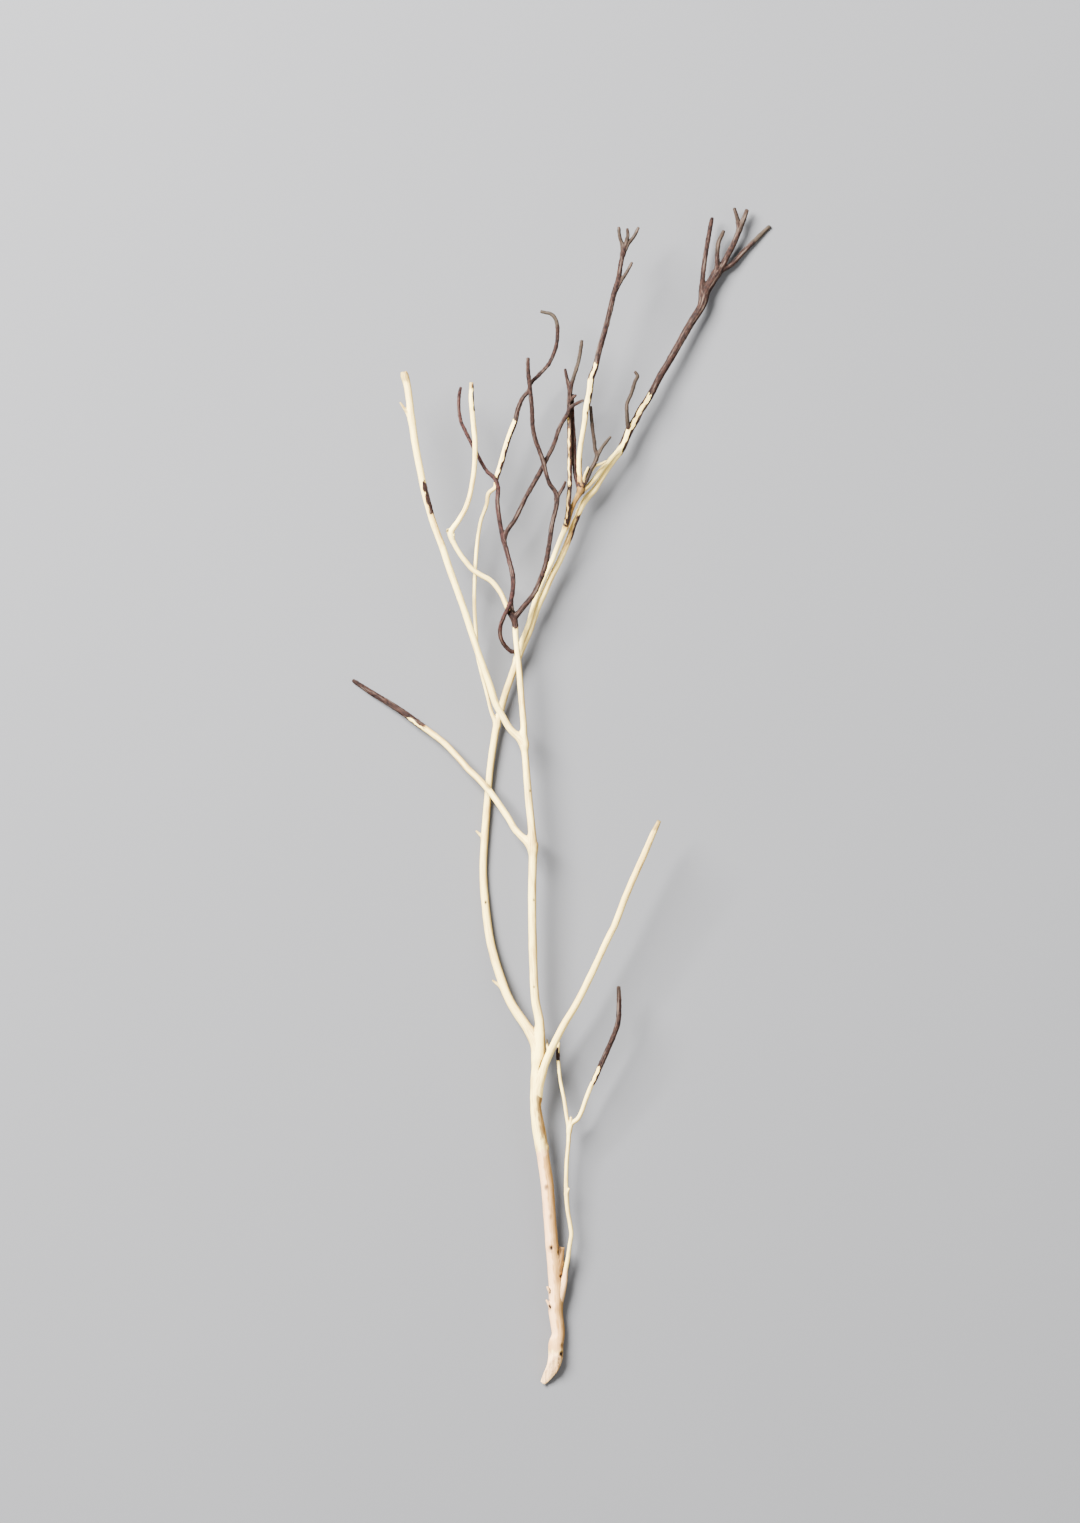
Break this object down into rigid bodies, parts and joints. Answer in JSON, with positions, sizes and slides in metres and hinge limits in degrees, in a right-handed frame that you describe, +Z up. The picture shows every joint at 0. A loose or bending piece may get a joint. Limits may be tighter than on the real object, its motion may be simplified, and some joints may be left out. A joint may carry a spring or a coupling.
{
  "type": "fallen tree branch",
  "caption": "Slender, peeled and weathered tree branch with long crossing limbs and dark-barked twigs, lying flat.",
  "frame": {"origin": "middle of the branch's box, on the ground that it lies on", "axes": "+Y from the torn butt to the crown, +Z up from the ground, +X across, to the right seen from above"},
  "size_m": [0.4184, 1.176, 0.0717],
  "materials": {
    "peeled_wood": "weathered smooth, no bark",
    "bark": "thin dark bark, dry"
  },
  "bodies": {
    "root": {"butt_stem": "peeled_wood", "centre_limb": "peeled_wood", "kinked_branch": "peeled_wood", "left_limb": "peeled_wood", "outer_twin_limb": "peeled_wood", "crown_limb": "bark", "right_limb": "peeled_wood", "left_side_branch": "peeled_wood", "upper_left_branch": "peeled_wood", "thin_pale_twig": "peeled_wood", "looping_twig": "bark", "crossing_twig": "bark", "dark_right_twig": "bark", "inner_twin_limb": "peeled_wood", "upright_limb": "peeled_wood", "grey_twig": "bark", "red_twig": "bark", "twin_strand": "peeled_wood", "tangled_twigs": "bark", "hooked_twig": "bark", "low_side_twig": "peeled_wood"}
  },
  "joints": []
}
